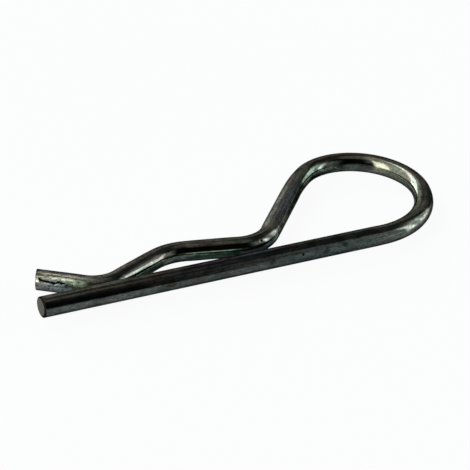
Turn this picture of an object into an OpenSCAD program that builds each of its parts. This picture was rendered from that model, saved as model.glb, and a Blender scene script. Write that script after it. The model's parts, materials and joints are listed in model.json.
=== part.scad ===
// R-clip (hairpin cotter): one round wire, bent cold.
// A straight leg runs into an open eye, the wire comes back to the leg, and a bent leg
// follows it: a neck, a hump that closes over half a shaft, a grip bend and a flared tip.
// The straight leg lies along X, the eye is in the XY plane, and all bend radii are
// measured at the wire's centre.

/* [Wire] */
// Diameter of the wire
wire_d = 4; // [3:0.1:5]
// How much the bends draw the wire down, on its radius
bend_thin = 0.03; // [0.02:0.01:0.06]
// Chamfer that breaks the edge of both cut ends
edge_break = 0.1; // [0.05:0.05:0.4]

/* [Straight leg] */
// How far the straight leg runs past the flared tip
tip_setback = 3.4; // [2:0.1:15]
// Angle by which the sheared free end is out of square
leg_skew = 3; // [0:1:12]

/* [Eye] */
// Radius of the wide bend that leads from the straight leg into the eye
lead_r = 17.6; // [15:0.1:22]
// Turn of the lead bend
lead_turn = 70; // [55:1:85]
// Radius of the tighter crown of the eye
crown_r = 12.8; // [10.5:0.1:15]
// Radius of the easy bend that opens the crown into the return
easing_r = 41; // [30:0.5:60]
// Turn of the easing bend
easing_turn = 9; // [5:0.1:14]
// Straight left between two bends that follow one another
bend_space = 0.6; // [0.5:0.1:3]
// Slope at which the return comes back down to the straight leg
return_slope = 47.7; // [40:0.1:58]

/* [Neck and hump] */
// Clear gap between the neck and the straight leg
neck_gap = 2.05; // [0.5:0.05:3]
// Radius of the neck bend
neck_r = 7.9; // [6:0.1:10]
// Slope of the wire between neck and hump
belly_slope = 15; // [12:0.5:18]
// Clear gap under the hump, where half of the shaft lies
hump_gap = 5.4; // [4.5:0.05:7]
// Radius of the hump
hump_r = 10.5; // [8:0.1:14]

/* [Grip and tip] */
// Slope of the ramp from the hump down to the grip
ramp_slope = 23; // [19:0.1:28]
// Radius of the grip bend
grip_r = 6.4; // [5:0.1:9]
// Clear gap left between the grip bend and the straight leg
grip_gap = 0.1; // [0.1:0.05:1]
// Slope of the flared tip
tip_slope = 37.7; // [30:0.1:45]
// Length of the flared tip, from the grip bend to its cut end
tip_len = 9.2; // [6:0.1:13]
// Angle by which the sheared tip is out of square
tip_skew = 8; // [0:1:12]

/* [Set] */
// Roll of the wire in the return, which sets the bent leg out of the eye's plane
leg_roll = 2; // [0:0.1:4]

/* [Hidden] */
$fn = 96;
wire_r = wire_d / 2;

// Each bend's ends lie this far inside the straights that it joins
bury = 0.2;

// A station on the wire is [x, y, heading], in the bend plane
function after_run(at, len) = at + [len * cos(at.z), len * sin(at.z), 0];
function after_bend(at, r, turn) =
    at + [sign(turn) * r * (sin(at.z + turn) - sin(at.z)),
          sign(turn) * r * (cos(at.z) - cos(at.z + turn)),
          turn];

// Height that a bend of radius r gains over a slope
function rise(r, slope) = r * (1 - cos(slope));

// The eye, from the end of the straight leg at the origin
crown_turn = 180 + return_slope - lead_turn - easing_turn;
crown_start = after_run(after_bend([0, 0, 0], lead_r, lead_turn), bend_space);
easing_start = after_run(after_bend(crown_start, crown_r, crown_turn), bend_space);
eye_end = after_bend(easing_start, easing_r, easing_turn);
crown_centre = [crown_start.x - crown_r * sin(lead_turn), crown_start.y + crown_r * cos(lead_turn)];

// Straight runs of the bent leg, each as long as the gaps at its two ends ask
return_len = (eye_end.y - rise(neck_r, return_slope) - wire_d - neck_gap) / sin(return_slope);
belly_len = (hump_gap - neck_gap - rise(neck_r + hump_r, belly_slope)) / sin(belly_slope);
ramp_len = (hump_gap - grip_gap - rise(hump_r + grip_r, ramp_slope)) / sin(ramp_slope);

// Stations of the bent leg
neck_start = after_run(eye_end, return_len);
neck_end = after_bend(neck_start, neck_r, -return_slope - belly_slope);
hump_start = after_run(neck_end, belly_len);
hump_end = after_bend(hump_start, hump_r, belly_slope + ramp_slope);
grip_start = after_run(hump_end, ramp_len);
grip_end = after_bend(grip_start, grip_r, -ramp_slope - tip_slope);
tip_end = after_run(grip_end, tip_len);

// The straight leg ends past the tip, and one side of its skewed end reaches furthest
leg_len = tip_setback - tip_end.x;
leg_reach = leg_len + (wire_r - edge_break) * sin(leg_skew);

// The roll turns the bent leg about the line of the return, so the tip drops by its
// distance from that line times the sine of the roll
tip_offset = (tip_end.x - eye_end.x) * sin(eye_end.z) - (tip_end.y - eye_end.y) * cos(eye_end.z);
tip_drop = abs(tip_offset) * sin(leg_roll);

// Middle of the outline in plan, and the height of the straight leg's axis when the
// tip's underside is at zero
eye_right = crown_centre.x + crown_r + wire_r;
eye_top = crown_centre.y + crown_r + wire_r;
centre = [(eye_right - leg_reach) / 2, (eye_top - wire_r) / 2];
axis_height = wire_r + tip_drop;

// A straight run along +X, with the rest of the wire at its end
module run(len) {
    rotate([0, 90, 0]) cylinder(h = len, d = wire_d);
    translate([len, 0, 0]) children();
}

// A bend, to the left where the turn is positive, with the rest of the wire at its end
module bend(r, turn) {
    side = sign(turn);
    end = after_bend([0, 0, 0], r, turn);
    buried = bury / r * 180 / PI;
    translate([0, side * r, 0])
        rotate((side > 0 ? -90 : 90 + turn) - buried)
            rotate_extrude(angle = abs(turn) + 2 * buried)
                translate([r, 0]) circle(r = wire_r - bend_thin);
    translate([end.x, end.y, 0]) rotate(turn) children();
}

// A roll of the wire about its own axis
module roll(angle) {
    rotate([angle, 0, 0]) children();
}

// A last run along +X that ends in a cut face with a broken edge, skew degrees off square
module cut_run(len, skew) {
    intersection() {
        rotate([0, 90, 0]) cylinder(h = len + wire_d, d = wire_d);
        translate([len, 0, 0]) rotate([0, -90, skew])
            cylinder(h = 2 * len, r1 = wire_r - edge_break, r2 = wire_r - edge_break + 2 * len);
    }
}

module clip() {
    color("dimgray") translate([-centre.x, -centre.y, axis_height]) {
        rotate(180) cut_run(leg_len, leg_skew);
        bend(lead_r, lead_turn)
        run(bend_space)
        bend(crown_r, crown_turn)
        run(bend_space)
        bend(easing_r, easing_turn)
        run(return_len)
        roll(leg_roll)
        bend(neck_r, -return_slope - belly_slope)
        run(belly_len)
        bend(hump_r, belly_slope + ramp_slope)
        run(ramp_len)
        bend(grip_r, -ramp_slope - tip_slope)
        cut_run(tip_len, tip_skew);
    }
}

clip();
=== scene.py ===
"""Looks of the R clip: one drawn wire, bent cold and zinc plated, on a pale studio floor.

Every length in the driving sizes is in millimetres and every angle in degrees, as a bending
shop would note them. Meshes, the camera and the lamps are in metres, in the part's own frame.
"""

import json
import logging
import math
from dataclasses import dataclass, field
from enum import Enum

import bpy
import numpy as np
from mathutils import Matrix, Vector

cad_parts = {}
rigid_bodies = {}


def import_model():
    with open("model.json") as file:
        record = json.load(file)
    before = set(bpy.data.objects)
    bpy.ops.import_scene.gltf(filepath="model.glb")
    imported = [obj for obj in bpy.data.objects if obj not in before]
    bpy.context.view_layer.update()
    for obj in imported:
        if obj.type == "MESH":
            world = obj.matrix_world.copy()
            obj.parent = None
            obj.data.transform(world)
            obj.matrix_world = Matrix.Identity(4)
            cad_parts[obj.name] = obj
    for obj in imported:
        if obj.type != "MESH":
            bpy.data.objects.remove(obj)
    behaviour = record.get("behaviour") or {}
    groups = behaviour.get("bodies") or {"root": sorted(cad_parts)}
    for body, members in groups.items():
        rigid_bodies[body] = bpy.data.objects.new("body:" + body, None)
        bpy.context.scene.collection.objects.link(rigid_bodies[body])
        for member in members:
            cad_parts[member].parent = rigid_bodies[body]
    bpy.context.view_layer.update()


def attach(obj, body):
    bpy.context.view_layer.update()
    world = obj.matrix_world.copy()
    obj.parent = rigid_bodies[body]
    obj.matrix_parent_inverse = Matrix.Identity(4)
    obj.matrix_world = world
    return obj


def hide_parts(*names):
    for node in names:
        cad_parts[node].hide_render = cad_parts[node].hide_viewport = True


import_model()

NODE = "clip"
BODY = "root"
MM = 0.001
MICRON = 1e-6
DRAWN = "drawn"
WEAR = "wear"

WARM_WHITE = (1.1, 1.0, 0.86)
PALE = (1.02, 1.0, 0.88)
DUSK = (1.16, 1.0, 0.93)

# Where nearly all of Blender's noise lies
NOISE_RANGE = (0.3, 0.7)

# Elevation of the soft boxes' lower edges in degrees, below the floor's far edge
FOOT = -12.0

# A turn in degrees or a change in millimetres that is too small to be made
TRIFLE = 1e-6
# Decimals of a millimetre that tell two rings apart
RING_DIGITS = 6

Pair = tuple[float, float]
Triple = tuple[float, float, float]
Socket = bpy.types.NodeSocket
Outputs = bpy.types.bpy_prop_collection

LOG = logging.getLogger("r_clip")


# ----- The wire's route -----


@dataclass(frozen=True)
class WireForm:
    """Driving sizes of the bent wire, in millimetres and degrees, at the wire's centre line."""

    wire_d: float = 4.0
    bend_thin: float = 0.03
    edge_break: float = 0.1
    tip_setback: float = 3.4
    leg_skew: float = 3.0
    lead_r: float = 17.6
    lead_turn: float = 70.0
    crown_r: float = 12.8
    easing_r: float = 41.0
    easing_turn: float = 9.0
    bend_space: float = 0.6
    return_slope: float = 47.7
    neck_gap: float = 2.05
    neck_r: float = 7.9
    belly_slope: float = 15.0
    hump_gap: float = 5.4
    hump_r: float = 10.5
    ramp_slope: float = 23.0
    grip_r: float = 6.4
    grip_gap: float = 0.1
    tip_slope: float = 37.7
    tip_len: float = 9.2
    tip_skew: float = 8.0
    leg_roll: float = 2.0

    @property
    def wire_r(self) -> float:
        """Radius of the straight wire."""
        return self.wire_d / 2

    @property
    def crown_turn(self) -> float:
        """Turn of the crown, which the other three turns of the eye leave to it."""
        return 180.0 + self.return_slope - self.lead_turn - self.easing_turn

    @property
    def leg_overhang(self) -> float:
        """How far the skewed end of the straight leg reaches past its centre line's end."""
        return (self.wire_r - self.edge_break) * math.sin(math.radians(self.leg_skew))


class Kind(Enum):
    """What a piece of the route does to the wire."""

    RUN = "run"
    BEND = "bend"
    ROLL = "roll"


@dataclass(frozen=True)
class Step:
    """One piece of the route: a straight run, a bend or a roll of the wire on its own axis."""

    kind: Kind
    size: float
    turn: float = 0.0

    @property
    def length(self) -> float:
        """Length of wire that the step takes.

        Returns:
            The length at the wire's centre line, which is 0 for a roll.
        """
        if self.kind is Kind.RUN:
            return self.size
        if self.kind is Kind.BEND:
            return self.size * math.radians(abs(self.turn))
        return 0.0


@dataclass(frozen=True)
class Station:
    """A place on the wire: its centre, where it heads, which way is up, and the length so far."""

    centre: Vector
    heading: Vector
    up: Vector
    along: float

    @property
    def side(self) -> Vector:
        """The direction to the left of the heading."""
        return self.up.cross(self.heading)

    def after(self, step: Step, share: float = 1.0) -> "Station":
        """Gives the station at a share of the way through a step.

        Args:
            step: The run, bend or roll that starts here.
            share: How much of the step is done, from 0 to 1.

        Returns:
            The new station.
        """
        if step.kind is Kind.RUN:
            centre = self.centre + self.heading * step.size * share
            return Station(centre, self.heading, self.up, self.along + step.size * share)
        if step.kind is Kind.ROLL:
            roll = Matrix.Rotation(math.radians(step.size * share), 3, self.heading)
            return Station(self.centre, self.heading, roll @ self.up, self.along)
        pivot = self.pivot(step)
        turned = Matrix.Rotation(math.radians(step.turn * share), 3, self.up)
        centre = pivot + turned @ (self.centre - pivot)
        return Station(centre, turned @ self.heading, self.up, self.along + step.length * share)

    def pivot(self, step: Step) -> Vector:
        """Centre of a bend that starts here."""
        return self.centre + self.side * math.copysign(step.size, step.turn)


class Route:
    """The wire's centre line from the straight leg's free end to the flared tip."""

    # Places in the route of the crown and of the first step after the eye
    CROWN = 3
    EYE_END = 6

    def __init__(self, form: WireForm) -> None:
        """Works the straight runs out from the gaps, as the construction does.

        Args:
            form: The driving sizes.
        """
        self.form = form
        self.steps = self._steps()
        self.stations = self._stations()

    @property
    def length(self) -> float:
        """Length of wire in the clip."""
        return self.stations[-1].along

    @staticmethod
    def _rise(radius: float, slope: float) -> float:
        """Height that a bend gains over a slope."""
        return radius * (1.0 - math.cos(math.radians(slope)))

    def _steps(self) -> list[Step]:
        """Lists the steps, with the lengths of the straight runs worked out.

        Returns:
            The steps in order, the straight leg first.
        """
        f = self.form
        eye = [
            Step(Kind.BEND, f.lead_r, f.lead_turn),
            Step(Kind.RUN, f.bend_space),
            Step(Kind.BEND, f.crown_r, f.crown_turn),
            Step(Kind.RUN, f.bend_space),
            Step(Kind.BEND, f.easing_r, f.easing_turn),
        ]
        eye_end = self._flat(eye).centre
        height = eye_end.y - self._rise(f.neck_r, f.return_slope) - f.wire_d - f.neck_gap
        return_len = height / math.sin(math.radians(f.return_slope))
        belly = f.hump_gap - f.neck_gap - self._rise(f.neck_r + f.hump_r, f.belly_slope)
        ramp = f.hump_gap - f.grip_gap - self._rise(f.hump_r + f.grip_r, f.ramp_slope)
        leg = [
            Step(Kind.RUN, return_len),
            Step(Kind.ROLL, f.leg_roll),
            Step(Kind.BEND, f.neck_r, -f.return_slope - f.belly_slope),
            Step(Kind.RUN, belly / math.sin(math.radians(f.belly_slope))),
            Step(Kind.BEND, f.hump_r, f.belly_slope + f.ramp_slope),
            Step(Kind.RUN, ramp / math.sin(math.radians(f.ramp_slope))),
            Step(Kind.BEND, f.grip_r, -f.ramp_slope - f.tip_slope),
            Step(Kind.RUN, f.tip_len),
        ]
        flat = [step for step in eye + leg if step.kind is not Kind.ROLL]
        straight = Step(Kind.RUN, f.tip_setback - self._flat(flat).centre.x)
        return [straight, *eye, *leg]

    @staticmethod
    def _follow(start: Vector, steps: list[Step]) -> list[Station]:
        """Follows steps from a place, along +X and with +Z up at first.

        Args:
            start: The place, in millimetres.
            steps: The steps in order.

        Returns:
            The station at the start of each step, and the one after the last.
        """
        found = [Station(start, Vector((1, 0, 0)), Vector((0, 0, 1)), 0.0)]
        for step in steps:
            found.append(found[-1].after(step))
        return found

    def _flat(self, steps: list[Step]) -> Station:
        """Gives the station after steps that start at the origin and stay in the XY plane."""
        return self._follow(Vector((0, 0, 0)), steps)[-1]

    def _stations(self) -> list[Station]:
        """Places the route in the part's frame, in millimetres.

        Returns:
            The station at the start of each step, and the one at the wire's end.
        """
        f = self.form
        flat = [step for step in self.steps if step.kind is not Kind.ROLL]
        middle = self._flat(flat[: self.CROWN]).pivot(flat[self.CROWN])
        eye_end = self._flat(flat[: self.EYE_END]).centre
        tip = self._flat(flat).centre
        reach = math.radians(180.0 + f.return_slope)
        offset = (tip.x - eye_end.x) * math.sin(reach) - (tip.y - eye_end.y) * math.cos(reach)
        drop = abs(offset) * math.sin(math.radians(f.leg_roll))
        right, top = middle.x + f.crown_r + f.wire_r, middle.y + f.crown_r + f.wire_r
        start = Vector(((f.leg_overhang - right) / 2, (f.wire_r - top) / 2, f.wire_r + drop))
        return self._follow(start, self.steps)

    def unbend(self, points: np.ndarray) -> np.ndarray:
        """Carries points on the bent wire back to the straight wire that it was drawn as.

        Args:
            points: Points on or near the surface in millimetres, one to a row.

        Returns:
            Their places on the straight wire: length along it, then across to the left and up.
        """
        nearest = np.full(len(points), np.inf)
        drawn = np.zeros_like(points)
        for step, at in zip(self.steps, self.stations):
            if step.kind is Kind.ROLL:
                continue
            centre, heading = np.array(at.centre), np.array(at.heading)
            side, up = np.array(at.side), np.array(at.up)
            offset = points - centre
            ahead, left, high = offset @ heading, offset @ side, offset @ up
            if step.kind is Kind.RUN:
                first, last = at is self.stations[0], step is self.steps[-1]
                start, end = -math.inf if first else 0.0, math.inf if last else step.size
                share = np.clip(ahead, start, end)
                place = np.stack([at.along + share, left, high], axis=1)
                gap = np.hypot(np.hypot(ahead - share, left), high)
            else:
                hand = math.copysign(1.0, step.turn)
                out = step.size - hand * left
                angle = np.clip(np.arctan2(ahead, out), 0.0, math.radians(abs(step.turn)))
                ring = np.hypot(ahead, out)
                place = np.stack(
                    [at.along + step.size * angle, hand * (step.size - ring), high], axis=1
                )
                off = np.hypot(ahead - step.size * np.sin(angle), out - step.size * np.cos(angle))
                gap = np.hypot(off, high)
            better = gap < nearest
            nearest[better], drawn[better] = gap[better], place[better]
        return drawn


# ----- Finishes -----


def grey(level: float) -> Triple:
    """Gives a shade with no tint in it."""
    return (level, level, level)


@dataclass(frozen=True)
class Grain:
    """A noise in the plate: its size along and across the wire in millimetres, and its swing."""

    along: float
    across: float
    swing: float = 0.0
    detail: float = 3.0


class Nodes:
    """A short hand for building one node tree."""

    def __init__(self, owner: bpy.types.Material | bpy.types.World) -> None:
        """Clears the owner's tree and keeps it at hand.

        Args:
            owner: The material or the world whose tree is built.
        """
        owner.use_nodes = True
        self.tree = owner.node_tree
        self.tree.nodes.clear()

    def add(self, kind: str, inputs: dict | None = None, **settings: object) -> bpy.types.Node:
        """Adds a node.

        Args:
            kind: The node's Blender type name.
            inputs: Values or output sockets for its inputs, by name or number.
            settings: Properties of the node itself.

        Returns:
            The new node.
        """
        node = self.tree.nodes.new(kind)
        for name, value in settings.items():
            setattr(node, name, value)
        for name, value in (inputs or {}).items():
            if isinstance(value, Socket):
                self.tree.links.new(value, node.inputs[name])
            else:
                node.inputs[name].default_value = value
        return node

    def attribute(self, name: str) -> Socket:
        """Reads a vector that the mesh holds at each point."""
        return self.add("ShaderNodeAttribute", attribute_name=name).outputs["Vector"]

    def split(self, vector: Socket) -> Outputs:
        """Gives a vector's three parts by name."""
        return self.add("ShaderNodeSeparateXYZ", {"Vector": vector}).outputs

    def maths(self, operation: str, *values: Socket | float) -> Socket:
        """Adds a Math node and gives its output."""
        return self.add("ShaderNodeMath", dict(enumerate(values)), operation=operation).outputs[0]

    def vector(self, operation: str, *values: Socket | Triple | Vector) -> Outputs:
        """Adds a Vector Math node and gives its outputs, Vector and Value."""
        inputs = dict(enumerate(values))
        return self.add("ShaderNodeVectorMath", inputs, operation=operation).outputs

    def remap(self, value: Socket, low: float, high: float, to: Pair) -> Socket:
        """Maps a value from low..high to a new range along a smooth step.

        Args:
            value: The value to map.
            low: Where the ramp starts.
            high: Where the ramp ends.
            to: The result at low and at high.

        Returns:
            The mapped value.
        """
        start, end = to
        inputs = {"Value": value, "From Min": low, "From Max": high, "To Min": start, "To Max": end}
        ramp = self.add("ShaderNodeMapRange", inputs, interpolation_type="SMOOTHSTEP")
        return ramp.outputs["Result"]

    def scale(self, colour: Socket | Triple, factor: Socket) -> Socket:
        """Multiplies a colour by a single value."""
        node = self.add("ShaderNodeVectorMath", {0: colour, "Scale": factor}, operation="SCALE")
        return node.outputs[0]

    def mix(
        self, share: Socket | float, colour: Socket, other: Triple, blend: str = "MIX"
    ) -> Socket:
        """Mixes a fixed colour into another.

        Args:
            share: Share of the fixed colour.
            colour: The colour to mix it into.
            other: The fixed colour.
            blend: Blender's blend type.

        Returns:
            The mixed colour.
        """
        inputs = {0: share, 6: colour, 7: (*other, 1.0)}
        return self.add("ShaderNodeMix", inputs, data_type="RGBA", blend_type=blend).outputs[2]

    def noise(self, vector: Socket, grain: Grain) -> Socket:
        """Adds noise on the drawn wire.

        Args:
            vector: Places on the drawn wire, in metres.
            grain: The size of the noise along and across the wire.

        Returns:
            The noise value, mostly between 0.3 and 0.7.
        """
        along, across = 1.0 / (grain.along * MM), 1.0 / (grain.across * MM)
        scaled = self.add("ShaderNodeMapping", {"Vector": vector, "Scale": (along, across, across)})
        inputs = {"Vector": scaled.outputs[0], "Scale": 1.0, "Detail": grain.detail}
        return self.add("ShaderNodeTexNoise", inputs).outputs["Fac"]

    def swing(self, noise: Socket, grain: Grain) -> Socket:
        """Turns noise into a factor that swings about 1."""
        return self.remap(noise, *NOISE_RANGE, (1.0 - grain.swing, 1.0 + grain.swing))

    def show(self, shader: bpy.types.Node) -> None:
        """Makes a shader the surface of the material."""
        self.add("ShaderNodeOutputMaterial", {"Surface": shader.outputs[0]})

    def metal(self, edge: float, inputs: dict) -> None:
        """Makes a metal the surface of the material.

        Args:
            edge: How bright the metal is at grazing angles, as a share of white.
            inputs: Values or sockets for the shader's other inputs, by name.
        """
        fixed = {"Metallic": 1.0, "Specular Tint": (*grey(edge), 1.0)}
        self.show(self.add("ShaderNodeBsdfPrincipled", fixed | inputs))


@dataclass(frozen=True)
class Mark:
    """A stain, pit or tint in the plate, or a painted highlight or painted shade on it.

    It lies at a length along the wire in millimetres and an angle round it in degrees. Its
    size is its half-length and half-width, and its shade multiplies the plate's colour. Its
    edge fades over a share of that size, and is as torn as the plate's clouds make it.
    """

    along: float
    around: float
    size: Pair
    shade: Triple
    fade: float = 0.5
    depth: float = 0.0
    torn: float = 1.0

    def mask(self, nodes: Nodes, drawn: Socket, ragged: Socket, radius: float) -> Socket:
        """Gives 1 in the middle of the mark and 0 outside it.

        Args:
            nodes: The node tree.
            drawn: Places on the drawn wire, in metres.
            ragged: What the noise adds to the mark's own measure from its middle to its edge.
            radius: Radius of the wire in millimetres.

        Returns:
            The mask.
        """
        turn = math.radians(self.around)
        centre = Vector((self.along, radius * math.cos(turn), radius * math.sin(turn))) * MM
        length, width = self.size
        reach = tuple(1.0 / (size * MM) for size in (length, width, width))
        offset = nodes.vector("SUBTRACT", drawn, centre)["Vector"]
        scaled = nodes.vector("MULTIPLY", offset, reach)["Vector"]
        away = nodes.vector("LENGTH", scaled)["Value"]
        measure = nodes.maths("MULTIPLY_ADD", ragged, self.torn, away)
        return nodes.remap(measure, 1.0 - self.fade, 1.0, (1.0, 0.0))


# Painted shade over the leg's reflections, a painted lighter streak by its end, and three faint
# tints on its ridge
LEG_TINTS_AND_PAINTED_LIGHT = (
    Mark(45.0, 0.0, (30.0, 40.0), (0.74, 0.74, 0.76), torn=0.2),
    Mark(44.0, 100.0, (30.0, 2.2), (0.88, 0.86, 0.92), torn=0.3),
    Mark(25.0, 92.0, (6.0, 1.0), (1.05, 0.92, 0.86)),
    Mark(35.0, 92.0, (5.0, 1.0), (1.0, 0.82, 1.12)),
    Mark(44.0, 92.0, (5.0, 1.0), (1.05, 1.15, 1.35)),
    Mark(6.0, 144.0, (16.0, 1.0), (0.5, 0.5, 0.55), torn=0.4),
    Mark(9.0, 108.0, (12.0, 0.8), (1.15, 1.12, 1.1)),
    Mark(60.0, 122.0, (16.0, 0.7), (0.8, 0.85, 0.8), torn=0.4),
    Mark(58.0, 170.0, (16.0, 1.8), (0.68, 0.78, 0.8), torn=0.4),
)

# Rubbed streaks where the bending tools gripped the eye, and the stains between them
# Painted highlights and painted shade in the eye's reflections, and two faint tints on its head
EYE_TINTS_AND_PAINTED_LIGHT = (
    Mark(78.5, 158.0, (1.6, 0.45), (1.5, 1.5, 1.45)),
    Mark(82.0, 148.0, (2.2, 0.4), (1.7, 1.75, 1.7)),
    Mark(82.0, 128.0, (2.6, 0.6), (0.45, 0.5, 0.5)),
    Mark(85.0, 66.0, (5.0, 0.8), (1.5, 1.45, 1.4)),
    Mark(91.0, 128.0, (6.0, 2.8), (0.6, 0.62, 0.66)),
    Mark(92.0, 34.0, (4.0, 0.5), (2.2, 2.2, 2.1)),
    Mark(103.0, 0.0, (7.0, 1.4), (1.25, 1.22, 1.1)),
    Mark(106.0, 88.0, (8.0, 0.8), (0.75, 0.72, 0.68)),
    Mark(110.0, 71.0, (5.0, 0.4), (1.7, 1.65, 1.5)),
    Mark(113.0, -8.0, (6.0, 1.6), (0.7, 0.75, 0.72)),
    Mark(117.0, 27.0, (3.4, 1.2), grey(0.42)),
    Mark(119.0, 76.0, (5.0, 0.6), (0.95, 0.65, 0.6)),
    Mark(125.0, -12.0, (7.0, 1.7), (0.42, 0.48, 0.48)),
    Mark(127.0, 40.0, (5.0, 1.4), (0.86, 1.0, 0.96)),
)

# Painted highlights and shade along the return, belly and ramp, painted shade in the hollow by the
# straight leg, and a blue-violet tint
SPRING_LEG_TINT_AND_PAINTED_LIGHT = (
    Mark(138.0, 26.0, (9.0, 0.7), (0.6, 0.66, 0.64)),
    Mark(141.0, 53.0, (12.0, 0.6), grey(1.7)),
    Mark(140.0, 75.0, (12.0, 1.0), (0.9, 0.95, 1.25)),
    Mark(145.0, 110.0, (13.0, 1.2), (1.45, 1.4, 1.45)),
    Mark(156.5, 2.0, (4.5, 1.3), (0.42, 0.46, 0.54)),
    Mark(167.0, -25.0, (10.0, 1.3), (0.4, 0.52, 0.47)),
    Mark(167.0, -6.0, (9.0, 0.5), (0.5, 0.6, 0.58)),
    Mark(167.0, 11.0, (8.0, 0.55), (2.3, 2.7, 2.4)),
    Mark(168.0, 50.0, (9.0, 0.5), (0.65, 0.65, 0.6)),
    Mark(173.0, 57.0, (3.5, 0.4), grey(0.5)),
    Mark(181.0, 3.0, (6.5, 0.8), (0.36, 0.48, 0.42)),
)

# The tip: painted highlight streaks on top, painted shade round the crease and elsewhere, a painted
# lighter, bluer band below, and a brown streak and dark specks at its end
TIP_SCARS_AND_PAINTED_LIGHT = (
    Mark(188.5, 30.0, (1.3, 1.0), grey(0.4), fade=0.3),
    Mark(194.6, 31.0, (2.6, 0.9), (0.5, 0.56, 0.54)),
    Mark(195.0, 40.0, (3.0, 1.2), (0.82, 0.92, 0.86)),
    Mark(197.0, 75.0, (4.2, 0.28), (2.8, 2.8, 2.7)),
    Mark(198.3, 57.0, (3.6, 0.36), (1.6, 1.65, 1.7)),
    Mark(199.0, 108.0, (6.0, 0.8), grey(0.7)),
    Mark(199.2, 51.0, (3.2, 0.35), grey(1.6)),
    Mark(199.3, 66.0, (3.6, 0.24), (0.5, 0.55, 0.5)),
    Mark(200.3, 34.0, (5.0, 0.5), (0.4, 0.4, 0.42)),
    Mark(200.5, 0.0, (4.5, 1.8), (1.2, 1.3, 1.5)),
    Mark(201.8, 75.0, (2.4, 0.14), (2.3, 2.1, 1.7)),
    Mark(202.8, 42.0, (0.6, 0.35), (0.45, 0.34, 0.26)),
    Mark(203.0, 52.0, (0.9, 0.12), (1.8, 1.7, 1.4)),
    Mark(203.2, 66.0, (1.6, 0.18), (0.55, 0.42, 0.3)),
    Mark(203.4, 34.0, (2.6, 2.6), (0.58, 0.6, 0.62), fade=0.8),
    Mark(203.6, 96.0, (0.7, 0.7), grey(0.08)),
    Mark(203.65, 36.0, (0.26, 0.22), grey(0.02), fade=0.6),
)

# Single pits and blotches
PITS = (
    Mark(25.5, 178.0, (0.9, 0.7), (0.62, 0.55, 0.42)),
    Mark(46.5, 165.0, (0.7, 0.45), grey(0.6)),
    Mark(53.0, 160.0, (0.4, 0.45), grey(0.06), fade=0.6, depth=1.0, torn=0.4),
    Mark(58.5, 166.0, (0.8, 0.9), (0.5, 0.52, 0.66)),
    Mark(62.4, 154.0, (0.9, 0.65), grey(0.4)),
    Mark(156.7, 40.0, (0.42, 0.5), grey(0.05), fade=0.6, depth=1.0),
    Mark(201.0, -12.0, (0.3, 0.3), grey(0.3), fade=0.6, depth=0.5),
)


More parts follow.
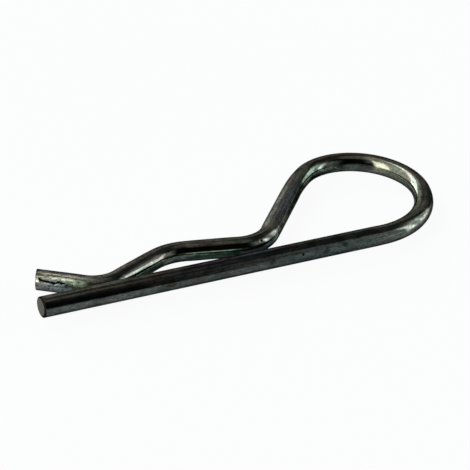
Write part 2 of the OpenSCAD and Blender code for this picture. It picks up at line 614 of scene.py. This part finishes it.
@dataclass(frozen=True)
class PlatedWire:
    """Dark bright-zinc plate over drawn spring steel: draw lines, cloudy tints, blemishes, painted
    highlights and painted shade.

    A tint is stated with the level of the noise where it lies: warm where the noise is low,
    greenish where it is high, and blue in its few peaks.
    """

    name: str = "plated_wire"
    base: Triple = (0.136, 0.156, 0.157)
    tints: tuple[tuple[float, Triple], ...] = (
        (0.3, (1.18, 0.97, 0.86)),
        (0.7, (0.94, 1.06, 0.88)),
        (0.701, (0.922, 1.0, 1.117)),
        (1.0, (1.0, 1.0, 1.0)),
    )
    tint_grain: Grain = Grain(4.0, 1.6)
    lines: Grain = Grain(9.0, 0.16, 0.26)
    clouds: Grain = Grain(3.2, 1.5, 0.26)
    specks: Grain = Grain(0.6, 0.3, 0.3, 2.0)
    ragged: float = 1.2
    edge: float = 0.27
    roughness: Pair = (0.085, 0.15)
    relief: float = 3.6
    speck_relief: float = 1.2
    pit_relief: float = 8.0
    scuffed_from: float = 189.5
    scuffed_over: float = 3.0
    scuffed_roughness: float = 0.16
    scuffed_relief: float = 4.0
    dent: Pair = (0.36, 0.4)
    dent_shade: float = 0.3
    rim: Pair = (0.1, 0.35)
    rim_shade: float = 0.12
    bare: Triple = (0.85, 0.85, 0.78)
    crease_shade: float = 0.03
    # Stains, pits and tints, with painted highlights and painted shade
    marks: tuple[Mark, ...] = LEG_TINTS_AND_PAINTED_LIGHT + EYE_TINTS_AND_PAINTED_LIGHT + SPRING_LEG_TINT_AND_PAINTED_LIGHT + TIP_SCARS_AND_PAINTED_LIGHT + PITS

    def make(self, radius: float, length: float) -> bpy.types.Material:
        """Builds the material.

        Args:
            radius: Radius of the wire in millimetres.
            length: Length of the wire in millimetres.

        Returns:
            The material.
        """
        material = bpy.data.materials.new(self.name)
        nodes = Nodes(material)
        drawn = nodes.attribute(DRAWN)
        place = nodes.split(drawn)["X"]
        wear = nodes.split(nodes.attribute(WEAR))
        grains = (self.lines, self.clouds, self.specks)
        noises = [nodes.noise(drawn, grain) for grain in grains]
        lines, clouds, specks = noises
        start = self.scuffed_from * MM
        scuff = nodes.remap(place, start, start + self.scuffed_over * MM, (0.0, 1.0))

        colour = nodes.mix(1.0, self._tint(nodes, drawn), self.base, "MULTIPLY")
        for noise, grain in zip(noises, grains):
            colour = nodes.scale(colour, nodes.swing(noise, grain))
        dents = nodes.remap(specks, *self.dent, (1.0 - self.dent_shade, 0.0))
        dents = nodes.maths("MULTIPLY", scuff, dents)
        colour = nodes.scale(colour, nodes.maths("SUBTRACT", 1.0, dents))
        colour = nodes.mix(wear["Y"], colour, self.bare)
        ragged = nodes.remap(clouds, 0.0, 1.0, (-self.ragged / 2, self.ragged / 2))
        pits = 0.0
        # Stains, pits, tints, painted highlights and painted shade
        for mark in self.marks:
            mask = mark.mask(nodes, drawn, ragged, radius)
            colour = nodes.mix(mask, colour, mark.shade, "MULTIPLY")
            if mark.depth:
                pits = nodes.maths("MULTIPLY_ADD", mask, mark.depth, pits)
        # Painted shade inside the crease
        colour = nodes.scale(colour, nodes.remap(wear["X"], 0.0, 1.0, (1.0, self.crease_shade)))
        colour = nodes.scale(colour, self._rims(nodes, place, length * MM))

        rough = nodes.remap(clouds, *NOISE_RANGE, self.roughness)
        rough = nodes.maths("MULTIPLY_ADD", scuff, self.scuffed_roughness, rough)
        growth = nodes.remap(scuff, 0.0, 1.0, (1.0, self.scuffed_relief))
        height = nodes.maths("MULTIPLY", lines, growth)
        height = nodes.maths("MULTIPLY_ADD", specks, self.speck_relief, height)
        height = nodes.maths("MULTIPLY_ADD", pits, -self.pit_relief, height)
        bump = nodes.add("ShaderNodeBump", {"Height": height, "Distance": self.relief * MICRON})
        inputs = {"Base Color": colour, "Roughness": rough, "Normal": bump.outputs[0]}
        nodes.metal(self.edge, inputs)
        return material

    def _tint(self, nodes: Nodes, drawn: Socket) -> Socket:
        """Makes the plate's faint interference colours, in clouds longer than they are wide.

        Args:
            nodes: The node tree.
            drawn: Places on the drawn wire, in metres.

        Returns:
            The tint.
        """
        noise = nodes.noise(drawn, self.tint_grain)
        ramp = nodes.add("ShaderNodeValToRGB", {"Fac": noise})
        stops = ramp.color_ramp.elements
        stops.remove(stops[-1])
        for number, (level, tint) in enumerate(self.tints):
            stop = stops.new(level) if number else stops[0]
            stop.position = level
            stop.color = (*tint, 1.0)
        return ramp.outputs["Color"]

    def _rims(self, nodes: Nodes, place: Socket, length: float) -> Socket:
        """Darkens the plate next to both cut ends.

        Args:
            nodes: The node tree.
            place: Length along the drawn wire, in metres.
            length: The wire's whole length, in metres.

        Returns:
            The factor on the plate's colour.
        """
        nearest = nodes.maths("MINIMUM", place, nodes.maths("SUBTRACT", length, place))
        return nodes.remap(nearest, self.rim[0] * MM, self.rim[1] * MM, (self.rim_shade, 1.0))


@dataclass(frozen=True)
class CutSteel:
    """The sheared and plated face at each end of the wire: matte, a little olive, dark-edged."""

    name: str = "cut_steel"
    base: Triple = (0.152, 0.15, 0.128)
    edge: float = 0.5
    roughness: float = 0.5
    grain: Grain = Grain(0.5, 0.5, 0.12)
    middle: Pair = (0.45, -0.15)
    rim: Pair = (1.66, 1.76)
    rim_shade: float = 0.04

    def make(self) -> bpy.types.Material:
        """Builds the material.

        Returns:
            The material.
        """
        material = bpy.data.materials.new(self.name)
        nodes = Nodes(material)
        drawn = nodes.attribute(DRAWN)
        place = nodes.split(drawn)
        left = nodes.maths("SUBTRACT", place["Y"], self.middle[0] * MM)
        high = nodes.maths("SUBTRACT", place["Z"], self.middle[1] * MM)
        squares = nodes.maths("MULTIPLY_ADD", left, left, nodes.maths("MULTIPLY", high, high))
        out = nodes.maths("SQRT", squares)
        rim = nodes.remap(out, self.rim[0] * MM, self.rim[1] * MM, (1.0, self.rim_shade))
        colour = nodes.scale(self.base, nodes.swing(nodes.noise(drawn, self.grain), self.grain))
        colour = nodes.scale(colour, rim)
        nodes.metal(self.edge, {"Base Color": colour, "Roughness": self.roughness})
        return material


# ----- The bent wire -----


@dataclass(frozen=True)
class Crease:
    """A jagged fold in the sheared tip, with painted shade inside.

    Its path is a few places on the wire, each with the crease's half-width there: a length
    along the wire in millimetres, an angle round it in degrees, and the half-width.
    """

    path: tuple[Triple, ...] = (
        (203.1, 40.0, 0.10),
        (202.7, 32.0, 0.28),
        (202.0, 27.0, 0.24),
        (201.2, 26.0, 0.28),
        (200.6, 25.0, 0.20),
        (200.0, 22.0, 0.28),
        (199.6, 24.0, 0.15),
        (199.2, 31.0, 0.22),
        (198.9, 30.0, 0.14),
        (198.5, 28.0, 0.22),
        (197.9, 30.0, 0.06),
    )
    depth: float = 0.3

    def cover(self, along: np.ndarray, turn: np.ndarray, radius: float) -> np.ndarray:
        """Gives 1 in the middle of the crease and 0 outside it.

        Args:
            along: Lengths along the wire in millimetres.
            turn: Angles round the wire in radians.
            radius: Radius of the wire in millimetres.

        Returns:
            The cover at each place.
        """
        places = np.stack([along, radius * turn], axis=1)
        widths = [width for _, _, width in self.path]
        path = np.array([(length, radius * math.radians(angle)) for length, angle, _ in self.path])
        cover = np.zeros(len(places))
        for first, last, start, end in zip(path, path[1:], widths, widths[1:]):
            side = last - first
            share = np.clip((places - first) @ side / (side @ side), 0.0, 1.0)
            away = np.linalg.norm(places - first - share[:, None] * side, axis=1)
            cover = np.maximum(cover, 1.0 - away / (start + share * (end - start)))
        return np.clip(cover, 0.0, 1.0)


@dataclass(frozen=True)
class Chip:
    """A small facet knocked off the tip's edge, down to bare steel."""

    start: float = 202.95
    reach: float = 0.9
    around: Pair = (17.0, 43.0)
    side: float = 5.0
    depth: float = 0.22

    def cover(self, along: np.ndarray, turn: np.ndarray) -> np.ndarray:
        """Gives how much of the chip's depth is reached, which grows towards the wire's end.

        Args:
            along: Lengths along the wire in millimetres.
            turn: Angles round the wire in radians.

        Returns:
            The cover at each place, from 0 to 1.
        """
        angle = np.degrees(turn)
        sides = np.minimum(angle - self.around[0], self.around[1] - angle) / self.side
        return np.clip((along - self.start) / self.reach, 0.0, 1.0) * np.clip(sides, 0.0, 1.0)


def select_by(wanted: str) -> None:
    """Sets whether points, edges or faces are what edit mode selects."""
    modes = tuple(kind == wanted for kind in ("points", "edges", "faces"))
    bpy.context.tool_settings.mesh_select_mode = modes


@dataclass
class BentWire:
    """The clip itself, drawn out step by step from one ring, as the wire leaves the coil."""

    route: Route
    around: int = 96
    run_step: float = 1.0
    tip_step: float = 0.15
    bend_step: float = 0.5
    taper: float = 1.5
    taper_rings: int = 4
    lean_over: float = 3.0
    edge_segments: int = 3
    face_margin: float = 0.15
    smooth_below: float = 40.0
    fine_margin: float = 0.3
    fine_end: float = 0.45
    fine_side: float = 8.0
    worn_beyond: float = 0.5
    crease: Crease = Crease()
    chip: Chip = Chip()
    name: str = "bent_wire"
    piece: bpy.types.Object = field(init=False)

    def build(self) -> None:
        """Models the wire, its two cut ends and the wear on its tip."""
        form = self.route.form
        start = self.route.stations[0]
        bpy.ops.object.select_all(action="DESELECT")
        bpy.ops.mesh.primitive_circle_add(
            vertices=self.around,
            radius=form.wire_r * MM,
            fill_type="NOTHING",
            location=start.centre * MM,
            rotation=(0, math.pi / 2, 0),
        )
        self.piece = bpy.context.object
        self.piece.name = self.piece.data.name = self.name
        bpy.ops.object.transform_apply(location=True, rotation=True, scale=True)
        bpy.ops.object.mode_set(mode="EDIT")
        bpy.ops.mesh.select_all(action="SELECT")
        select_by("edges")
        self._lean(start, form.leg_skew)
        radius = form.wire_r
        for number, step in enumerate(self.route.steps):
            if step.kind is Kind.RUN:
                radius = self._run(number, radius)
            elif step.kind is Kind.BEND:
                self._bend(number)
        self._close_ends()
        bpy.ops.mesh.select_all(action="SELECT")
        bpy.ops.mesh.normals_make_consistent(inside=False)
        bpy.ops.object.mode_set(mode="OBJECT")
        self._refine()
        self._press()

    @property
    def last(self) -> int:
        """Number of the last step."""
        return len(self.route.steps) - 1

    def _radius(self, number: int, ahead: float) -> float:
        """Radius of the wire on a run, which is drawn down towards the bends at its ends.

        Args:
            number: Place of the run in the route.
            ahead: Distance from the start of the run.

        Returns:
            The radius there, in millimetres.
        """
        form, size = self.route.form, self.route.steps[number].size
        reach = math.inf
        if number > 0:
            reach = min(reach, ahead)
        if number < self.last:
            reach = min(reach, size - ahead)
        share = min(reach / self.taper, 1.0)
        return form.wire_r - form.bend_thin * (1.0 - share * share * (3.0 - 2.0 * share))

    def _skew(self, number: int, ahead: float) -> float:
        """How far a ring leans out of square, in degrees, on its way to a skewed end.

        Args:
            number: Place of the run in the route.
            ahead: Distance from the start of the run.

        Returns:
            The lean, from 0 to the full skew of that end.
        """
        form, size = self.route.form, self.route.steps[number].size
        if number == 0:
            return form.leg_skew * max(0.0, 1.0 - ahead / self.lean_over)
        if number == self.last:
            return form.tip_skew * max(0.0, 1.0 - (size - ahead) / self.lean_over)
        return 0.0

    def _rings(self, number: int) -> list[float]:
        """Chooses where the rings of a run stand.

        Args:
            number: Place of the run in the route.

        Returns:
            Their distances from the start of the run, in millimetres.
        """
        size = self.route.steps[number].size
        if size <= 2 * self.taper:
            return [0.0, size]
        step = self.tip_step if number == self.last else self.run_step
        count = max(2, round((size - 2 * self.taper) / step) + 1)
        inner = np.linspace(self.taper, size - self.taper, count)
        finest = min(step, self.taper / self.taper_rings)
        edge = np.linspace(0.0, self.taper, 1 + math.ceil(self.taper / finest))
        return sorted(set(np.concatenate([edge, inner, size - edge]).round(RING_DIGITS)))

    def _run(self, number: int, radius: float) -> float:
        """Draws the last ring out along a straight run.

        Args:
            number: Place of the run in the route.
            radius: The ring's radius at the start.

        Returns:
            The ring's radius at the end.
        """
        step, at = self.route.steps[number], self.route.stations[number]
        rings = self._rings(number)
        for before, after in zip(rings, rings[1:]):
            bpy.ops.mesh.extrude_region_move(
                TRANSFORM_OT_translate={"value": at.heading * (after - before) * MM}
            )
            here = at.after(step, after / step.size)
            self._lean(here, self._skew(number, after) - self._skew(number, before))
            wanted = self._radius(number, after)
            if abs(wanted - radius) > TRIFLE:
                bpy.ops.transform.resize(
                    value=(wanted / radius,) * 3, center_override=here.centre * MM
                )
                radius = wanted
        return radius

    def _lean(self, at: Station, angle: float) -> None:
        """Turns the selected ring about the upright axis through its middle.

        Args:
            at: The ring's station.
            angle: The turn in degrees.
        """
        if abs(angle) < TRIFLE:
            return
        bpy.ops.transform.rotate(
            value=-math.radians(angle),
            orient_axis="Z",
            orient_matrix=Matrix((at.heading, at.side, at.up)).transposed(),
            orient_matrix_type="GLOBAL",
            center_override=at.centre * MM,
        )

    def _bend(self, number: int) -> None:
        """Spins the last ring through a bend.

        Args:
            number: Place of the bend in the route.
        """
        step, at = self.route.steps[number], self.route.stations[number]
        bpy.ops.mesh.spin(
            steps=max(2, round(step.length / self.bend_step)),
            angle=-math.radians(step.turn),
            center=at.pivot(step) * MM,
            axis=at.up,
        )

    def _close_ends(self) -> None:
        """Fills both ends, breaks their edges and marks off the cut faces."""
        bpy.ops.mesh.select_all(action="DESELECT")
        bpy.ops.mesh.select_non_manifold()
        bpy.ops.mesh.fill_holes(sides=0)
        select_by("faces")
        bpy.ops.mesh.region_to_loop()
        select_by("edges")
        bpy.ops.mesh.bevel(
            offset=self.route.form.edge_break * MM,
            segments=self.edge_segments,
            profile=0.5,
            affect="EDGES",
        )
        select_by("faces")
        self._pick_faces()
        bpy.ops.mesh.inset(thickness=self.face_margin * MM)

    def _pick_faces(self) -> None:
        """Selects the two cut faces, which alone have a side for each point of the ring."""
        bpy.ops.mesh.select_all(action="DESELECT")
        bpy.ops.mesh.select_face_by_sides(number=self.around - 1, type="GREATER")

    def _drawn(self) -> np.ndarray:
        """Gives each vertex's place on the drawn wire, in millimetres."""
        points = np.array([vertex.co for vertex in self.piece.data.vertices])
        return self.route.unbend(points / MM)

    def _wear(self, drawn: np.ndarray) -> tuple[np.ndarray, np.ndarray]:
        """Gives how deep in the crease and in the chip each vertex is, from 0 to 1.

        Args:
            drawn: Places on the drawn wire, in millimetres.

        Returns:
            The cover of the crease and that of the chip.
        """
        along, turn = drawn[:, 0], np.arctan2(drawn[:, 2], drawn[:, 1])
        radius = self.route.form.wire_r
        near = np.hypot(drawn[:, 1], drawn[:, 2]) > radius * self.worn_beyond
        return near * self.crease.cover(along, turn, radius), near * self.chip.cover(along, turn)

    def _refine(self) -> None:
        """Splits the faces round the crease and the chip, which are finer than the rings."""
        drawn = self._drawn()
        lengths, angles, _ = zip(*self.crease.path)
        turn = np.degrees(np.arctan2(drawn[:, 2], drawn[:, 1]))
        inside = drawn[:, 0] > min(lengths) - self.fine_margin
        inside &= drawn[:, 0] < self.route.length - self.fine_end
        inside &= (turn > min(angles) - self.fine_side) & (turn < max(angles) + self.fine_side)
        bpy.ops.object.mode_set(mode="EDIT")
        bpy.ops.mesh.select_all(action="DESELECT")
        select_by("points")
        bpy.ops.object.mode_set(mode="OBJECT")
        self.piece.data.vertices.foreach_set("select", inside)
        bpy.ops.object.mode_set(mode="EDIT")
        bpy.ops.mesh.subdivide(number_cuts=1, ngon=False)
        bpy.ops.object.mode_set(mode="OBJECT")

    def _press(self) -> None:
        """Presses the crease and the chip into the tip."""
        crease, chip = self._wear(self._drawn())
        depth = np.maximum(crease * self.crease.depth, chip * self.chip.depth)
        group = self.piece.vertex_groups.new(name="depth")
        for index in np.flatnonzero(depth):
            group.add([int(index)], depth[index] / depth.max(), "REPLACE")
        press = self.piece.modifiers.new("press", "DISPLACE")
        press.vertex_group = group.name
        press.mid_level = 0.0
        press.strength = -depth.max() * MM
        bpy.ops.object.modifier_apply(modifier=press.name)
        self.piece.vertex_groups.clear()

    def dress(self) -> None:
        """Gives the wire its drawn coordinates, its wear and its finishes."""
        mesh = self.piece.data
        drawn = self._drawn()
        wear = np.stack([*self._wear(drawn), np.zeros(len(drawn))], axis=1)
        for name, values in ((DRAWN, drawn * MM), (WEAR, wear)):
            layer = mesh.attributes.new(name, "FLOAT_VECTOR", "POINT")
            layer.data.foreach_set("vector", values.astype(np.float32).ravel())
        mesh.materials.append(PlatedWire().make(self.route.form.wire_r, self.route.length))
        mesh.materials.append(CutSteel().make())
        bpy.ops.object.select_all(action="DESELECT")
        self.piece.select_set(True)
        bpy.context.view_layer.objects.active = self.piece
        bpy.ops.object.mode_set(mode="EDIT")
        select_by("faces")
        self._pick_faces()
        bpy.ops.mesh.select_more()
        self.piece.active_material_index = 1
        bpy.ops.object.material_slot_assign()
        bpy.ops.object.mode_set(mode="OBJECT")
        bpy.ops.object.shade_smooth_by_angle(angle=math.radians(self.smooth_below))
        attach(self.piece, BODY)
        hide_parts(NODE)


# ----- The studio -----


def towards(azimuth: float, elevation: float) -> Vector:
    """Gives the direction from the part to a place around it.

    Args:
        azimuth: Angle round the part in degrees, 0 on the -Y side and 90 on the +X side.
        elevation: Angle above the floor in degrees.

    Returns:
        The unit vector.
    """
    a, e = math.radians(azimuth), math.radians(elevation)
    return Vector((math.sin(a) * math.cos(e), -math.cos(a) * math.cos(e), math.sin(e)))


@dataclass(frozen=True)
class SoftBox:
    """A lit panel far round the part, by the directions of its edges in degrees.

    Its level is 1 where it shines like white paper in the studio, and it fades out over a
    few degrees at its edges.
    """

    name: str
    azimuths: Pair
    elevations: Pair
    level: float
    fades: Triple = (4.0, 4.0, 6.0)
    colour: Triple = (1.0, 1.0, 1.0)

    def shine(self, nodes: Nodes, place: Socket, height: Socket, others: Socket | Triple) -> Socket:
        """Adds this panel's light to that of the others.

        Args:
            nodes: The room's node tree.
            place: Direction of view.
            height: Elevation of that direction in degrees.
            others: Light of the other panels.

        Returns:
            The sum.
        """
        middle, (low, high) = sum(self.azimuths) / 2, self.elevations
        reach = (self.azimuths[1] - self.azimuths[0]) / 2
        ahead = nodes.vector("DOT_PRODUCT", place, towards(middle, 0.0))["Value"]
        aside = nodes.vector("DOT_PRODUCT", place, towards(middle + 90.0, 0.0))["Value"]
        turn = nodes.maths("DEGREES", nodes.maths("ARCTAN2", aside, ahead))
        start, end, top = (fade / 2 for fade in self.fades)
        mask, *rest = (
            nodes.remap(turn, -reach - start, -reach + start, (0.0, 1.0)),
            nodes.remap(turn, reach - end, reach + end, (1.0, 0.0)),
            nodes.remap(height, high - top, high + top, (1.0, 0.0)),
            nodes.remap(height, low - top, low + top, (0.0, 1.0)),
        )
        for other in rest:
            mask = nodes.maths("MULTIPLY", mask, other)
        light = tuple(channel * self.level for channel in self.colour)
        return nodes.vector("MULTIPLY_ADD", mask, light, others)["Vector"]


@dataclass(frozen=True)
class Card:
    """A strip of white card that leans over the part from the front, its foot near the floor."""

    name: str
    level: float
    sides: Pair
    foot: Pair = (-0.292, 0.0)
    head: Pair = (-0.142, 0.208)

    def build(self) -> None:
        """Adds the card as a weak area lamp."""
        foot, head = Vector((0.0, *self.foot)), Vector((0.0, *self.head))
        light = bpy.data.lights.new(self.name, "AREA")
        light.shape = "RECTANGLE"
        light.size = self.sides[1] - self.sides[0]
        light.size_y = (head - foot).length
        # The power that makes a lamp of this area as bright as its level
        light.energy = self.level * math.pi * light.size * light.size_y
        card = bpy.data.objects.new(self.name, light)
        bpy.context.scene.collection.objects.link(card)
        across, rise = Vector((1.0, 0.0, 0.0)), (head - foot).normalized()
        turn = Matrix((across, rise, across.cross(rise))).transposed().to_4x4()
        middle = Vector((sum(self.sides) / 2, 0.0, 0.0)) + (foot + head) / 2
        card.matrix_world = Matrix.Translation(middle) @ turn
        card.visible_camera = False


@dataclass
class Studio:
    """A pale floor in a dim room, with soft boxes all round and a near card in four strips.

    The card's strips grow dimmer towards the left, where its edge would otherwise show as a
    hard line in the wire.
    """

    floor_size: float = 12.0
    floor_colour: Triple = (0.435, 0.50, 0.61)
    floor_roughness: float = 0.12
    floor_glow: float = 0.93
    white: float = 1.01
    mirrored_glow: float = 0.1
    boxes: tuple[SoftBox, ...] = (
        SoftBox("back_box", (183.5, 208.0), (FOOT, 62.0), 5.6, (6.0, 8.0, 24.0)),
        SoftBox("back_foot", (175.5, 184.0), (FOOT, 9.0), 2.2, (7.0, 2.0, 14.0)),
        SoftBox("back_shoulder", (165.0, 184.0), (FOOT, 42.0), 1.05, (18.0, 2.0, 30.0)),
        SoftBox("back_glow", (148.0, 168.0), (FOOT, 22.0), 0.15, (14.0, 8.0, 12.0)),
        SoftBox("back_wall", (206.0, 272.0), (FOOT, 60.0), 1.35, (6.0, 20.0, 30.0), PALE),
        SoftBox("left_box", (272.0, 302.5), (FOOT, 61.0), 5.6, (16.0, 10.0, 18.0), WARM_WHITE),
        SoftBox("right_strip", (57.0, 69.0), (FOOT, 34.0), 2.9, (6.0, 4.0, 24.0)),
        SoftBox("right_box", (82.0, 102.0), (FOOT, 31.0), 2.0, (5.0, 6.0, 16.0)),
        SoftBox("right_wall", (56.0, 103.0), (FOOT, 40.0), 1.0, (5.0, 6.0, 24.0)),
        SoftBox("back_low", (118.0, 186.0), (FOOT, 38.0), 0.26, (30.0, 4.0, 10.0), DUSK),
        SoftBox("back_high", (150.0, 315.0), (30.0, 95.0), 0.26, (16.0, 30.0, 8.0), DUSK),
        SoftBox("high_left", (162.0, 305.0), (66.0, 105.0), 0.5, (20.0, 20.0, 12.0), WARM_WHITE),
        SoftBox("overhead", (-80.0, 160.0), (67.5, 105.0), 0.22, (20.0, 20.0, 8.0), DUSK),
        SoftBox("right_dark", (30.0, 152.0), (FOOT, 75.0), 0.06, (20.0, 10.0, 8.0)),
        SoftBox("sweep", (27.0, 185.0), (FOOT, 4.5), 0.5, (6.0, 4.0, 4.0)),
        SoftBox("sweep_left", (-185.0, 12.0), (FOOT, 5.0), 0.8, (4.0, 6.0, 4.0)),
        SoftBox("front", (-185.0, 185.0), (FOOT, 95.0), 0.006),
    )
    cards: tuple[Card, ...] = (
        Card("front_card", 0.27, (0.16, 0.35)),
        Card("card_left", 0.45, (0.119, 0.16)),
        Card("card_edge", 0.18, (0.092, 0.119), (-0.26, 0.045)),
        Card("card_fade", 0.06, (0.072, 0.092), (-0.25, 0.058)),
    )

    def build(self) -> None:
        """Builds the floor, the room's own light and the cards."""
        self._floor()
        self._room()
        for card in self.cards:
            card.build()

    def _floor(self) -> None:
        """Lays the floor."""
        bpy.ops.object.select_all(action="DESELECT")
        bpy.ops.mesh.primitive_plane_add(size=self.floor_size)
        floor = bpy.context.object
        floor.name = "studio_floor"
        material = bpy.data.materials.new("studio_floor")
        nodes = Nodes(material)
        paper = nodes.add(
            "ShaderNodeBsdfPrincipled",
            {"Base Color": (*self.floor_colour, 1.0), "Roughness": self.floor_roughness},
        )
        white = nodes.add("ShaderNodeEmission", {"Strength": self.white})
        path = nodes.add("ShaderNodeLightPath").outputs
        mirrored = nodes.maths("MAXIMUM", path["Is Glossy Ray"], path["Is Transmission Ray"])
        mirrored = nodes.maths("MULTIPLY", mirrored, self.mirrored_glow)
        seen = nodes.maths("MULTIPLY", path["Is Camera Ray"], self.floor_glow)
        share = nodes.maths("MAXIMUM", seen, mirrored)
        shaders = {0: share, 1: paper.outputs[0], 2: white.outputs[0]}
        nodes.show(nodes.add("ShaderNodeMixShader", shaders))
        floor.data.materials.append(material)

    def _room(self) -> None:
        """Hangs the soft boxes round the floor."""
        world = bpy.data.worlds.new("studio_room")
        bpy.context.scene.world = world
        nodes = Nodes(world)
        place = nodes.add("ShaderNodeTexCoord").outputs["Generated"]
        height = nodes.maths("DEGREES", nodes.maths("ARCSINE", nodes.split(place)["Z"]))
        light = grey(0.0)
        for box in self.boxes:
            light = box.shine(nodes, place, height, light)
        shade = nodes.add("ShaderNodeBackground", {"Color": light})
        nodes.add("ShaderNodeOutputWorld", {"Surface": shade.outputs[0]})


@dataclass(frozen=True)
class Camera:
    """The camera, by where it stands round its target."""

    azimuth: float = -28.74
    elevation: float = 30.683
    roll: float = -4.045
    distance: float = 0.368334
    target: Triple = (-0.000916, -0.00419, 0.0032)
    lens: float = 144.483
    sensor: float = 36.0
    clip: Pair = (0.01, 50.0)

    def build(self) -> None:
        """Adds the camera and makes it the scene's."""
        back = towards(self.azimuth, self.elevation)
        right = (-back).cross(Vector((0, 0, 1))).normalized()
        down = (-back).cross(right)
        angle = math.radians(self.roll)
        across = right * math.cos(angle) + down * math.sin(angle)
        below = down * math.cos(angle) - right * math.sin(angle)
        data = bpy.data.cameras.new("studio_camera")
        data.lens, data.sensor_width = self.lens, self.sensor
        data.clip_start, data.clip_end = self.clip
        camera = bpy.data.objects.new("studio_camera", data)
        bpy.context.scene.collection.objects.link(camera)
        turn = Matrix((across, -below, back)).transposed().to_4x4()
        camera.matrix_world = Matrix.Translation(Vector(self.target) + back * self.distance) @ turn
        bpy.context.scene.camera = camera


def main() -> None:
    """Builds the camera, the wire and the studio, and reports each piece."""
    logging.basicConfig(level=logging.INFO, format="%(name)s: %(message)s")
    bpy.context.scene.view_settings.view_transform = "Standard"
    Camera().build()
    route = Route(WireForm())
    wire = BentWire(route)
    wire.build()
    wire.dress()
    faces = len(wire.piece.data.polygons)
    LOG.info("%s: %.1f mm of wire, %d faces", wire.name, route.length, faces)
    Studio().build()
    LOG.info("studio: floor, room and lamps")


if __name__ == "__main__":
    main()
